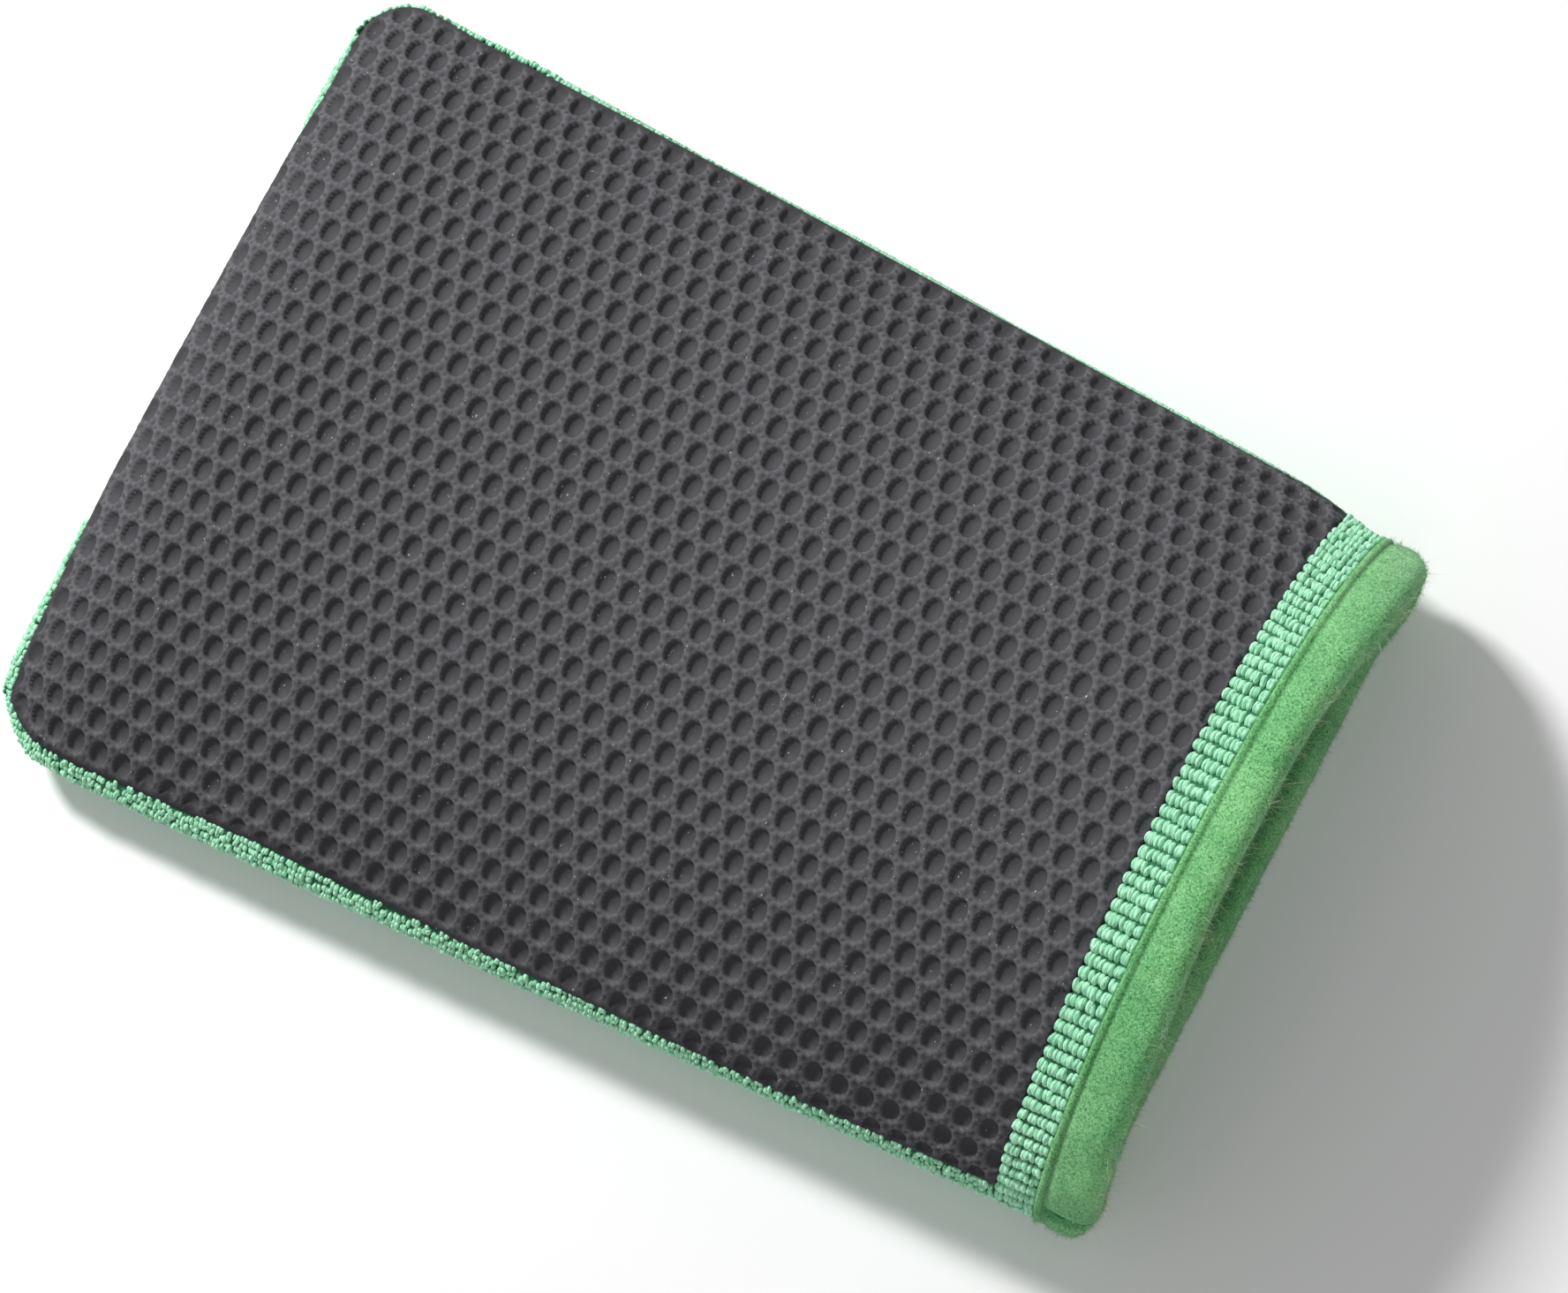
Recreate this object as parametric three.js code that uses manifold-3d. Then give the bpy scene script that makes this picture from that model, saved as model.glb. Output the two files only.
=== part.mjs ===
// A clay wash mitt: a dimpled clay sheet and a microfibre back, sewn into a bag round foam and
// lining, with a fleece binding folded over the mouth. Millimetres, +Z up, +X towards the mouth.
import * as THREE from "three";
import { mergeVertices } from "three/addons/utils/BufferGeometryUtils.js";
import Module from "manifold-3d";

// Outline of the bag, seen from above.
const LENGTH = 223;
const FINGERTIP_WIDTH = 156;
const MOUTH_WIDTH = 131;
const TAPER_POWER = 1.15;
const CORNER_RADIUS = 12;
const LEAST_RADIUS = 3; // of an inner layer's corner

// Height of the side seam above the floor, and of the palm's crown above the seam.
const TIP_SEAM_HEIGHT = 8;
const MOUTH_SEAM_HEIGHT = 15;
const TIP_CROWN = 13;
const MOUTH_CROWN = 34;
const CROWN_POWER = 2.6;

// Cross section: how full the crown is, how round its edge is, and how far the underside turns up.
const CROWN_FULLNESS = 2.2;
const EDGE_ROUNDNESS = 0.665;
const TURN_UP_WIDTH = 18;

// How the palm and the back close over the fingertip end.
const PALM_CLOSING_LENGTH = 25;
const BACK_CLOSING_LENGTH = 10;
const CLOSING_POWER = 0.55;
const TIP_FLAT = 0.15;

// Thickness of each layer, from the outside in.
const GAP = 0.3;
const CLAY_THICKNESS = 2;
const FABRIC_THICKNESS = 1.4;
const FOAM_THICKNESS = 1.6;
const LINING_THICKNESS = 0.6;

// Where the clay sheet stops: short of the -Y seam, close to the other edges, and before the ribs.
const CLAY_SIDE_MARGIN = 3;
const CLAY_EDGE_MARGIN = 1.2;
const RIB_STRIP = 7.5;

// The fleece binding folded over the mouth, with its row of stitches.
const BINDING_WIDTH = 9;
const BINDING_FLANGE = 1.5;
const GROOVE_WIDTH = 1.2;
const FLANGE_DEPTH = 0.2;
const ROLL_BULGE = 0.8;
const INNER_FOLD_THICKNESS = 2;
const INNER_FOLD_SHORTER = 1;
const FOLD_DEPTH = 2.5;
const SLIT_WIDTH = 1.2;

const CUFF_THREAD = 0.6;
const SEAM_THREAD = 0.7;
const JOIN_THREAD = 0.6;
const TROUGH = SEAM_THREAD + GAP; // how deep the seam thread's trough is below the seam

// How finely the surfaces are divided.
const CORNER_STEPS = 5;
const LENGTH_STEPS = 10;
const LENGTH_SPREAD = 1.25;
const PALM_STEPS = 18;
const TURN_UP_STEPS = 4;
const FLAT_STEPS = 2;
const THREAD_SIDES = 6;
const THREAD_STEPS = 3; // of the cuff thread, to each point of the cross section
const ROLL_STEP = 30; // degrees

// Depths of the layers below the outer surface.
const FABRIC_TOP = CLAY_THICKNESS + GAP;
const FABRIC_UNDERSIDE = FABRIC_TOP + FABRIC_THICKNESS;
const FOAM_TOP = FABRIC_UNDERSIDE + GAP;
const FOAM_UNDERSIDE = FOAM_TOP + FOAM_THICKNESS;
const LINING_TOP = FOAM_UNDERSIDE + GAP;
const LINING_UNDERSIDE = LINING_TOP + LINING_THICKNESS;
const INNER_FOLD_TOP = LINING_UNDERSIDE + GAP;
const INNER_FOLD_UNDERSIDE = INNER_FOLD_TOP + INNER_FOLD_THICKNESS;

const BINDING_START = LENGTH - BINDING_WIDTH;
const CLAY_END = BINDING_START - RIB_STRIP;
const LAYER_END = LENGTH - FOLD_DEPTH - GAP;
const FAR = 2 * LENGTH;

const wasm = await Module();
wasm.setup();

const mix = (a, b, share) => a + (b - a) * share;
const along = (u) => THREE.MathUtils.clamp(u / LENGTH, 0, 1);
const seamHeight = (u) => mix(TIP_SEAM_HEIGHT, MOUTH_SEAM_HEIGHT, u / LENGTH);
const crown = (u) => mix(TIP_CROWN, MOUTH_CROWN, along(u) ** CROWN_POWER);

// Half the width of the outline, the given distance inside it, at u from the fingertip end.
function halfWidth(u, inset) {
  const straight = mix(FINGERTIP_WIDTH, MOUTH_WIDTH, along(u) ** TAPER_POWER) / 2 - inset;
  const radius = Math.max(CORNER_RADIUS - inset, LEAST_RADIUS);
  const left = Math.max(radius - (u - inset), 0);
  return straight - radius + Math.sqrt(Math.max(radius ** 2 - left ** 2, 0));
}

// How far the bag has opened, from 0 at the fingertip end to 1.
function opened(distance, length) {
  const left = THREE.MathUtils.clamp(1 - distance / length, 0, 1);
  return (1 - left ** 2) ** CLOSING_POWER;
}

// A point of the palm: angle 0 is the +Y side, PI / 2 the crown, PI the -Y side.
function palmPoint(u, depth, angle) {
  const c = Math.cos(angle);
  const rise = (crown(u) - depth) * opened(u - depth, PALM_CLOSING_LENGTH);
  return [
    Math.sign(c) * Math.abs(c) ** (2 / CROWN_FULLNESS) * halfWidth(u, depth),
    seamHeight(u) + rise * Math.sin(angle) ** (2 * EDGE_ROUNDNESS),
  ];
}

// A point of the back: share 0 is the side seam, 1 is where the turn-up meets the flat, 2 the middle.
function backPoint(u, depth, share, side) {
  const half = halfWidth(u, depth);
  const flat = Math.max(halfWidth(u, 0) - TURN_UP_WIDTH, 0);
  const drop = (seamHeight(u) - Math.max(depth, 0)) * opened(u - depth, BACK_CLOSING_LENGTH);
  const turn = (Math.min(share, 1) * Math.PI) / 2;
  const y = share < 1 ? flat + (half - flat) * Math.cos(turn) : flat * (2 - share);
  return [side * y, seamHeight(u) - drop * Math.sin(turn)];
}

// The closed cross section at u, the given depth below the outside, running from the +Y side
// over the palm to the -Y side and back underneath.
function section(u, depth) {
  const points = [];
  for (let i = 0; i < PALM_STEPS; i++) {
    points.push(palmPoint(u, depth, (Math.PI * i) / PALM_STEPS));
  }
  const shares = [];
  for (let i = 0; i < TURN_UP_STEPS; i++) shares.push(i / TURN_UP_STEPS);
  for (let i = 0; i < FLAT_STEPS; i++) shares.push(1 + i / FLAT_STEPS);
  for (const share of shares) points.push(backPoint(u, depth, share, -1));
  points.push(backPoint(u, depth, 2, 1));
  for (const share of shares.slice(1).reverse()) points.push(backPoint(u, depth, share, 1));
  return points;
}

// Stations from the fingertip end of the surface at the given depth: round the corner in equal
// turns, in growing steps to the binding, then the mouth.
function stations(depth) {
  const places = [];
  for (let i = 0; i < CORNER_STEPS; i++) {
    places.push(CORNER_RADIUS * (1 - Math.cos((Math.PI / 2) * (i / CORNER_STEPS))));
  }
  for (let i = 0; i <= LENGTH_STEPS; i++) {
    places.push(mix(CORNER_RADIUS, BINDING_START, (i / LENGTH_STEPS) ** LENGTH_SPREAD));
  }
  places.push(LENGTH);
  places[0] = TIP_FLAT;
  return places.map((u) => u + depth * Math.max(1 - u / (2 * PALM_CLOSING_LENGTH), 0));
}

// A closed surface from rings of points: each ring joins the next, and both ends are capped.
function skin(rings, caps) {
  const size = rings[0].length;
  const positions = rings.flat(2);
  const index = [];
  for (let r = 0; r + 1 < rings.length; r++) {
    for (let k = 0; k < size; k++) {
      const a = r * size + k;
      const b = r * size + ((k + 1) % size);
      index.push(a, b, a + size, b, b + size, a + size);
    }
  }
  const last = (rings.length - 1) * size;
  for (const [a, b, c] of caps) {
    index.push(a, c, b);
    index.push(last + a, last + b, last + c);
  }
  const geometry = new THREE.BufferGeometry();
  geometry.setAttribute("position", new THREE.Float32BufferAttribute(positions, 3));
  geometry.setIndex(index);
  return geometry;
}

// The triangles that close a convex ring, zigzagging from its first corner to its last.
function zigzag(size) {
  const triangles = [];
  for (let low = 0, high = size - 1; high - low > 1; ) {
    triangles.push([low, low + 1, high]);
    low += 1;
    if (high - low > 1) triangles.push([low, high - 1, high]);
    high -= 1;
  }
  return triangles;
}

// A solid whose cross section at each station along X is a ring of [y, z] points.
function loft(places, ringAt) {
  const rings = places.map((u) => ringAt(u).map(([y, z]) => [u, y, z]));
  return skin(rings, zigzag(rings[0].length));
}

function solidOf(geometry) {
  const bare = new THREE.BufferGeometry();
  bare.setAttribute("position", geometry.getAttribute("position"));
  bare.setIndex(geometry.index);
  const merged = mergeVertices(bare, 1e-4);
  const made = new wasm.Manifold(
    new wasm.Mesh({
      numProp: 3,
      vertProperties: new Float32Array(merged.attributes.position.array),
      triVerts: new Uint32Array(merged.index.array),
    }),
  );
  return made.volume() < 0 ? solidOf(turnedRound(merged)) : made;
}

function turnedRound(geometry) {
  const index = Array.from(geometry.index.array);
  for (let i = 0; i < index.length; i += 3) {
    [index[i + 1], index[i + 2]] = [index[i + 2], index[i + 1]];
  }
  return geometry.clone().setIndex(index);
}

function geometryOf(solid) {
  const { numProp, vertProperties, triVerts } = solid.getMesh();
  const positions = [];
  for (let i = 0; i < vertProperties.length; i += numProp) {
    positions.push(...vertProperties.subarray(i, i + 3));
  }
  const geometry = new THREE.BufferGeometry();
  geometry.setAttribute("position", new THREE.Float32BufferAttribute(positions, 3));
  geometry.setIndex(Array.from(triVerts));
  return geometry;
}

// The bag's volume inside the surface at the given depth.
const bag = (depth) =>
  solidOf(loft(stations(depth), (u) => section(u, depth)));

// The piece without the crumbs that a cut along a sharp edge can leave.
const largest = (solid) => solid.decompose().sort((a, b) => b.volume() - a.volume())[0];

// The shell between two depths, cut off at the given distance from the fingertip end.
function shell(outer, inner, end) {
  return bag(outer).subtract(bag(inner)).intersect(upTo(end));
}

const upTo = (end) =>
  solidOf(new THREE.BoxGeometry(FAR, FAR, FAR).translate(end - FAR / 2, 0, 0));

// Everything above the seam surface raised by base, inside the outline moved in by inset on the
// -Y side and by edgeInset elsewhere.
function above(base, inset, edgeInset = inset) {
  return solidOf(
    loft(stations(edgeInset), (u) => {
      const y = halfWidth(u, edgeInset);
      const nearY = -halfWidth(Math.max(u, inset), inset);
      const floor = seamHeight(u) + base;
      return [
        [y, floor],
        [y, FAR],
        [nearY, FAR],
        [nearY, floor],
      ];
    }),
  );
}

// The half space above or below the seam surface raised by base.
function halfSpace(base, side) {
  return solidOf(
    loft([-LENGTH, 2 * LENGTH], (u) => {
      const z = seamHeight(u) + base;
      return [
        [FAR, z],
        [FAR, z + side * FAR],
        [-FAR, z + side * FAR],
        [-FAR, z],
      ];
    }),
  );
}

function halfLayer(outer, inner, side) {
  return largest(shell(outer, inner, LAYER_END).intersect(halfSpace((side * GAP) / 2, side)));
}

function backFabric() {
  const pile = shell(0, FABRIC_UNDERSIDE, BINDING_START - GAP);
  const hem = shell(FABRIC_TOP, FABRIC_UNDERSIDE, LAYER_END);
  const room = above(-TROUGH, CLAY_SIDE_MARGIN - GAP, CLAY_EDGE_MARGIN - GAP);
  return largest(pile.add(hem).subtract(room));
}

// The point at u on the surface at the given depth, by its place along the cross section.
function loopPoint(u, depth, place) {
  const ring = section(u, depth);
  const [y, z] = ring[place % ring.length];
  return [u, y, z];
}

// The binding's profile in (u, depth): flange, stitch groove, soft roll, inner fold and slot.
function bindingProfile() {
  const grooveStart = BINDING_START + BINDING_FLANGE;
  const rollStart = grooveStart + GROOVE_WIDTH;
  const bend = 2 * FOLD_DEPTH;
  const slotEnd = LENGTH - FOLD_DEPTH;
  const innerStart = BINDING_START + INNER_FOLD_SHORTER;
  const profile = [
    [BINDING_START, FLANGE_DEPTH],
    [grooveStart, FLANGE_DEPTH],
    [grooveStart, FLANGE_DEPTH + CUFF_THREAD + GAP],
    [rollStart, FLANGE_DEPTH + CUFF_THREAD + GAP],
    [rollStart, FLANGE_DEPTH],
    [rollStart + ROLL_BULGE, -ROLL_BULGE / 2],
  ];
  const centre = (INNER_FOLD_UNDERSIDE - ROLL_BULGE) / 2;
  const half = (INNER_FOLD_UNDERSIDE + ROLL_BULGE) / 2;
  for (let degrees = -90; degrees <= 90; degrees += ROLL_STEP) {
    const turn = THREE.MathUtils.degToRad(degrees);
    profile.push([LENGTH - bend + bend * Math.cos(turn), centre + half * Math.sin(turn)]);
  }
  profile.push(
    [innerStart, INNER_FOLD_UNDERSIDE],
    [innerStart, INNER_FOLD_TOP],
    [slotEnd, INNER_FOLD_TOP],
    [slotEnd, CLAY_THICKNESS],
    [BINDING_START, CLAY_THICKNESS],
  );
  return profile;
}

// A strip that runs right round the mouth from the -Y seam, where its two ends meet at a slit.
function bindingStrip() {
  const profile = bindingProfile();
  const count = section(LENGTH, 0).length;
  const rings = [];
  for (let k = 0; k <= count; k++) {
    rings.push(profile.map(([u, depth]) => loopPoint(u, depth, PALM_STEPS + k)));
  }
  // The two end rings draw back from each other.
  rings[0] = rings[0].map(([x, y, z]) => [x, y, z - SLIT_WIDTH / 2]);
  rings[count] = rings[count].map(([x, y, z]) => [x, y, z + SLIT_WIDTH / 2]);
  const flat = profile.map(([u, depth]) => new THREE.Vector2(u, depth));
  return solidOf(skin(rings, THREE.ShapeUtils.triangulateShape(flat, [])));
}

// A thread that runs straight from each point to the next, and never upright.
function threadAlong(points, diameter) {
  const rings = points.map((point, i) => {
    const before = points[Math.max(i - 1, 0)];
    const after = points[Math.min(i + 1, points.length - 1)];
    const ahead = new THREE.Vector3().subVectors(after, before).normalize();
    const aside = new THREE.Vector3(0, 0, 1).cross(ahead).normalize();
    const over = new THREE.Vector3().crossVectors(ahead, aside);
    return Array.from({ length: THREAD_SIDES }, (_, k) => {
      const turn = (2 * Math.PI * k) / THREAD_SIDES;
      return point
        .clone()
        .addScaledVector(aside, (Math.cos(turn) * diameter) / 2)
        .addScaledVector(over, (Math.sin(turn) * diameter) / 2)
        .toArray();
    });
  });
  return solidOf(skin(rings, zigzag(THREAD_SIDES)));
}

// The thread in the binding's groove, once round the mouth.
function cuffThread() {
  const u = BINDING_START + BINDING_FLANGE + GROOVE_WIDTH / 2;
  const depth = FLANGE_DEPTH + CUFF_THREAD / 2;
  const ring = section(u, depth).map(([y, z]) => new THREE.Vector3(u, y, z));
  const path = new THREE.CatmullRomCurve3(ring, true, "centripetal");
  return new THREE.TubeGeometry(path, THREAD_STEPS * ring.length, CUFF_THREAD / 2, THREAD_SIDES, true);
}

// The thread that closes the bag, from the mouth down one side, round the fingertips and back.
function seamThread() {
  const inset = CLAY_SIDE_MARGIN + SEAM_THREAD / 2;
  const places = stations(inset).filter((u) => u < BINDING_START);
  places.push(BINDING_START - SEAM_THREAD);
  const height = (u) => seamHeight(u) - SEAM_THREAD / 2;
  const run = (side) =>
    places.map((u) => new THREE.Vector3(u, side * halfWidth(u, inset), height(u)));
  return threadAlong([...run(1).reverse(), ...run(-1)], SEAM_THREAD);
}

// The thread in the slit where the binding's ends meet.
function joinThread() {
  const start = BINDING_START + BINDING_FLANGE + GROOVE_WIDTH + GAP;
  const points = [start, LENGTH - FOLD_DEPTH].map(
    (u) => new THREE.Vector3(u, -halfWidth(u, JOIN_THREAD), seamHeight(u)),
  );
  return threadAlong(points, JOIN_THREAD);
}

const clay = new THREE.MeshStandardMaterial({ color: "#4a4a4e", roughness: 0.8, metalness: 0 });
const microfibre = new THREE.MeshStandardMaterial({ color: "#43b87a", roughness: 1, metalness: 0 });
const fleece = new THREE.MeshStandardMaterial({ color: "#4fb95f", roughness: 1, metalness: 0 });
const foam = new THREE.MeshStandardMaterial({ color: "#e9e6da", roughness: 1, metalness: 0 });
const lining = new THREE.MeshStandardMaterial({ color: "#3f9c66", roughness: 0.9, metalness: 0 });
const thread = new THREE.MeshStandardMaterial({ color: "#1f7a45", roughness: 0.7, metalness: 0 });

const mitt = new THREE.Group();
mitt.name = "wash_mitt";

function add(name, shape, material) {
  const geometry = shape.isBufferGeometry ? shape : geometryOf(shape);
  const mesh = new THREE.Mesh(geometry, material);
  mesh.name = name;
  mitt.add(mesh);
}

// A layer of the palm only, inside the outline moved in by inset.
const palmSheet = (outer, inner, end, inset, edgeInset) =>
  largest(shell(outer, inner, end).intersect(above(GAP, inset, edgeInset)));

const fabricInset = FABRIC_UNDERSIDE + SEAM_THREAD + GAP;

add(
  "clay_face",
  palmSheet(0, CLAY_THICKNESS, CLAY_END, CLAY_SIDE_MARGIN, CLAY_EDGE_MARGIN),
  clay,
);
add(
  "palm_microfibre",
  palmSheet(FABRIC_TOP, FABRIC_UNDERSIDE, LAYER_END, fabricInset),
  microfibre,
);
add("back_microfibre", backFabric(), microfibre);
add("palm_foam", halfLayer(FOAM_TOP, FOAM_UNDERSIDE, 1), foam);
add("back_foam", halfLayer(FOAM_TOP, FOAM_UNDERSIDE, -1), foam);
add("palm_lining", halfLayer(LINING_TOP, LINING_UNDERSIDE, 1), lining);
add("back_lining", halfLayer(LINING_TOP, LINING_UNDERSIDE, -1), lining);
add("cuff_binding", bindingStrip(), fleece);
add("side_seam_thread", seamThread(), thread);
add("cuff_stitch_thread", cuffThread(), thread);
add("binding_join_thread", joinThread(), thread);

mitt.position.set(-(LENGTH + TIP_FLAT) / 2, 0, 0);

export default mitt;
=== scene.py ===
import math

import bpy
import numpy as np
from mathutils import Matrix, Vector
from mathutils.geometry import delaunay_2d_cdt


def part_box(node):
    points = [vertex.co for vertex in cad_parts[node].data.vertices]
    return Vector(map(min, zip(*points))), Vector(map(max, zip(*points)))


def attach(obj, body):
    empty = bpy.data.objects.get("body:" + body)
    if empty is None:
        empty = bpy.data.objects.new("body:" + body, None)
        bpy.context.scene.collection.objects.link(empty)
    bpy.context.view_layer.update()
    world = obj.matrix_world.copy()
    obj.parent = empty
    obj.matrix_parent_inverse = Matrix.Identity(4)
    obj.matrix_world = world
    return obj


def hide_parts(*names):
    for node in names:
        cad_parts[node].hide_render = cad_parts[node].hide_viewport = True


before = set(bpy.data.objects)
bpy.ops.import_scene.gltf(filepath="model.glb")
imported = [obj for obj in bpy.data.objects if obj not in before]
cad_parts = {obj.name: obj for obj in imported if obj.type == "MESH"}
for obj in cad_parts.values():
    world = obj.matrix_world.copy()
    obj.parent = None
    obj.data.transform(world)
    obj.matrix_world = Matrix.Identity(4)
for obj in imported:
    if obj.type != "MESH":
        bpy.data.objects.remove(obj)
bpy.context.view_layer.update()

mm = 0.001
random = np.random.default_rng(11)

# The bag's shape in millimetres. u runs from the fingertip end to the mouth.
bag = {
    "length": 223, "fingertipWidth": 156, "mouthWidth": 131, "taperPower": 1.15,
    "cornerRadius": 12, "tipSeam": 8, "mouthSeam": 15, "tipCrown": 13, "mouthCrown": 34,
    "crownPower": 2.6, "fullness": 2.2, "edgeRoundness": 0.665, "turnUp": 18,
    "palmClosing": 25, "backClosing": 10, "closingPower": 0.55, "tipFlat": 0.15,
}
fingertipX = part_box("cuff_binding")[1].x / mm - bag["length"]
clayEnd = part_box("clay_face")[1].x / mm - fingertipX
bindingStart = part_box("cuff_binding")[0].x / mm - fingertipX


def mix(a, b, share):
    return a + (b - a) * share


def smooth(low, high, value):
    t = np.clip((value - low) / (high - low), 0, 1)
    return t * t * (3 - 2 * t)


def seamHeight(u):
    return mix(bag["tipSeam"], bag["mouthSeam"], u / bag["length"])


def crown(u):
    return mix(bag["tipCrown"], bag["mouthCrown"], np.clip(u / bag["length"], 0, 1) ** bag["crownPower"])


def halfWidth(u, inset):
    taper = np.clip(u / bag["length"], 0, 1) ** bag["taperPower"]
    straight = mix(bag["fingertipWidth"], bag["mouthWidth"], taper) / 2 - inset
    radius = np.maximum(bag["cornerRadius"] - inset, bag["cornerRadius"] / 4)
    left = np.maximum(radius - (u - inset), 0)
    return straight - radius + np.sqrt(np.maximum(radius ** 2 - left ** 2, 0))


def opened(distance, length):
    return (1 - np.clip(1 - distance / length, 0, 1) ** 2) ** bag["closingPower"]


# y and z across one half of the palm or the back. t is 0 at the middle, 1 at the side seam.
def palmProfile(u, t, depth):
    across = np.sin(t * math.pi / 2)
    rise = (crown(u) - depth) * opened(u - depth, bag["palmClosing"])
    lift = np.clip(1 - across ** bag["fullness"], 0, 1) ** bag["edgeRoundness"]
    return across * halfWidth(u, depth), seamHeight(u) + rise * lift


def backProfile(u, t, depth):
    flat = np.maximum(halfWidth(u, 0) - bag["turnUp"], 0)
    flatShare = 0.6
    drop = (seamHeight(u) - np.maximum(depth, 0)) * opened(u - depth, bag["backClosing"])
    turn = (1 - np.clip((t - flatShare) / (1 - flatShare), 0, 1)) * math.pi / 2
    y = np.where(t < flatShare, flat * t / flatShare, flat + (halfWidth(u, depth) - flat) * np.cos(turn))
    return y, seamHeight(u) - drop * np.sin(turn)


# One side of the bag, laid out flat: v is the distance across the cloth from its middle.
class Side:
    def __init__(self, profile, outwards):
        self.profile, self.outwards = profile, outwards
        self.us = np.linspace(bag["tipFlat"], bag["length"], 400)
        t = np.linspace(0, 1, 900)
        y, z = profile(self.us[:, None], t[None, :], 0.0)
        steps = np.hypot(np.diff(y, axis=1), np.diff(z, axis=1))
        arc = np.concatenate([np.zeros((len(self.us), 1)), np.cumsum(steps, axis=1)], axis=1)
        self.reach = arc[:, -1]
        self.shares = np.linspace(0, 1, 500)
        self.table = np.array([np.interp(self.shares, a / a[-1], t) for a in arc])

    def reachAt(self, u):
        return np.interp(u, self.us, self.reach)

    def place(self, u, v):
        share = np.clip(np.abs(v) / self.reachAt(u), 0, 1)
        row = np.clip((u - self.us[0]) / (self.us[1] - self.us[0]), 0, len(self.us) - 1.001)
        column = share * (len(self.shares) - 1.001)
        r, c = row.astype(int), column.astype(int)
        a, b = row - r, column - c
        low = mix(self.table[r, c], self.table[r, c + 1], b)
        return mix(low, mix(self.table[r + 1, c], self.table[r + 1, c + 1], b), a)

    def point(self, u, v, depth=0.0):
        y, z = self.profile(u, self.place(u, v), depth)
        return np.stack([u, np.sign(v) * y, z], axis=-1)

    def normal(self, u, v):
        step = 0.4
        edge = self.reachAt(u) - 0.5
        u, v = np.clip(u, 1.0, bag["length"] - 0.5), np.clip(v, -edge, edge)
        ahead = self.point(u + step, v) - self.point(u - step, v)
        aside = self.point(u, v + step) - self.point(u, v - step)
        up = np.cross(ahead, aside) * self.outwards
        return up / np.linalg.norm(up, axis=-1, keepdims=True)

    # The point at (u, v), under the surface by depth and then out along its normal by height.
    def at(self, u, v, depth=0.0, height=0.0):
        u, v, depth, height = np.broadcast_arrays(*[np.asarray(x, float) for x in (u, v, depth, height)])
        return self.point(u, v, depth) + self.normal(u, v) * height[..., None]


palm = Side(palmProfile, 1)
back = Side(backProfile, -1)
print("bag laid out", round(float(palm.reach[-1]), 1), round(float(back.reach[-1]), 1))


# How the filled bag sits: one fingertip corner is blunter, the mouth is drawn in at one end, and its
# lower lip is set back. clear lifts it all off the floor.
sit = {
    "blunt": 2.7, "bluntAt": (4, -75), "bluntWidth": 9.0, "diagonal": 0.7,
    "drawn": 2.0, "drawnAlong": (196, 216), "drawnAcross": (25, 66),
    "lip": 3.2, "lipAlong": (213, 222), "lipBelow": (17, 9), "lipAcross": (46, 64),
    "clear": 0.03,
}


def sat(points):
    u, v, z = points.T
    cornerU, cornerV = sit["bluntAt"]
    blunt = sit["blunt"] * np.exp(-((u - cornerU) ** 2 + (v - cornerV) ** 2) / sit["bluntWidth"] ** 2)
    drawn = sit["drawn"] * smooth(*sit["drawnAlong"], u) * smooth(*sit["drawnAcross"], v)
    lip = smooth(*sit["lipAlong"], u) * smooth(*sit["lipBelow"], z) * (1 - smooth(*sit["lipAcross"], np.abs(v)))
    u = u + blunt * sit["diagonal"] - sit["lip"] * lip
    v = v + blunt * sit["diagonal"] - drawn
    return np.stack([u, v, np.maximum(z, sit["clear"])], axis=1)


# Meshes: points in millimetres from the fingertip end, faces as rows of three or four corners.
def makeMesh(name, points, faces, values=None, settled=False):
    points = np.asarray(points, float)
    points = ((points if settled else sat(points)) + [fingertipX, 0, 0]) * mm
    mesh = bpy.data.meshes.new(name)
    mesh.vertices.add(len(points))
    mesh.vertices.foreach_set("co", points.astype(np.float32).ravel())
    corners = np.concatenate([np.asarray(f).ravel() for f in faces])
    sizes = np.concatenate([np.full(len(f), np.asarray(f).shape[1]) for f in faces])
    mesh.loops.add(len(corners))
    mesh.loops.foreach_set("vertex_index", corners.astype(np.int32))
    mesh.polygons.add(len(sizes))
    mesh.polygons.foreach_set("loop_start", (np.cumsum(sizes) - sizes).astype(np.int32))
    mesh.polygons.foreach_set("loop_total", sizes.astype(np.int32))
    mesh.polygons.foreach_set("use_smooth", np.ones(len(sizes), bool))
    mesh.update(calc_edges=True)
    mesh.validate()
    for label, value in (values or {}).items():
        mesh.attributes.new(label, "FLOAT", "POINT").data.foreach_set("value", np.asarray(value, np.float32))
    piece = bpy.data.objects.new(name, mesh)
    bpy.context.collection.objects.link(piece)
    return piece


def grid(rows, columns, closeRows=False, closeColumns=False, start=0):
    r = np.arange(rows if closeRows else rows - 1)
    c = np.arange(columns if closeColumns else columns - 1)
    r, c = [x.ravel() for x in np.meshgrid(r, c, indexing="ij")]
    r1, c1 = (r + 1) % rows, (c + 1) % columns
    return start + np.stack([r * columns + c, r1 * columns + c, r1 * columns + c1, r * columns + c1], axis=1)


# The corners round the edge of a grid, keeping every coarse-th row and column.
def rimOf(rows, columns, coarse):
    lastRow, lastColumn = rows - 1, columns - 1
    r = np.concatenate([
        np.zeros(columns), np.arange(1, rows), np.full(lastColumn, lastRow), np.arange(rows - 2, 0, -1)])
    c = np.concatenate([
        np.arange(columns), np.full(lastRow, lastColumn), np.arange(columns - 2, -1, -1), np.zeros(rows - 2)])
    across = lastColumn // coarse + 1
    return (np.floor(r / coarse + 0.5) * across + np.floor(c / coarse + 0.5)).astype(int)


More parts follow.
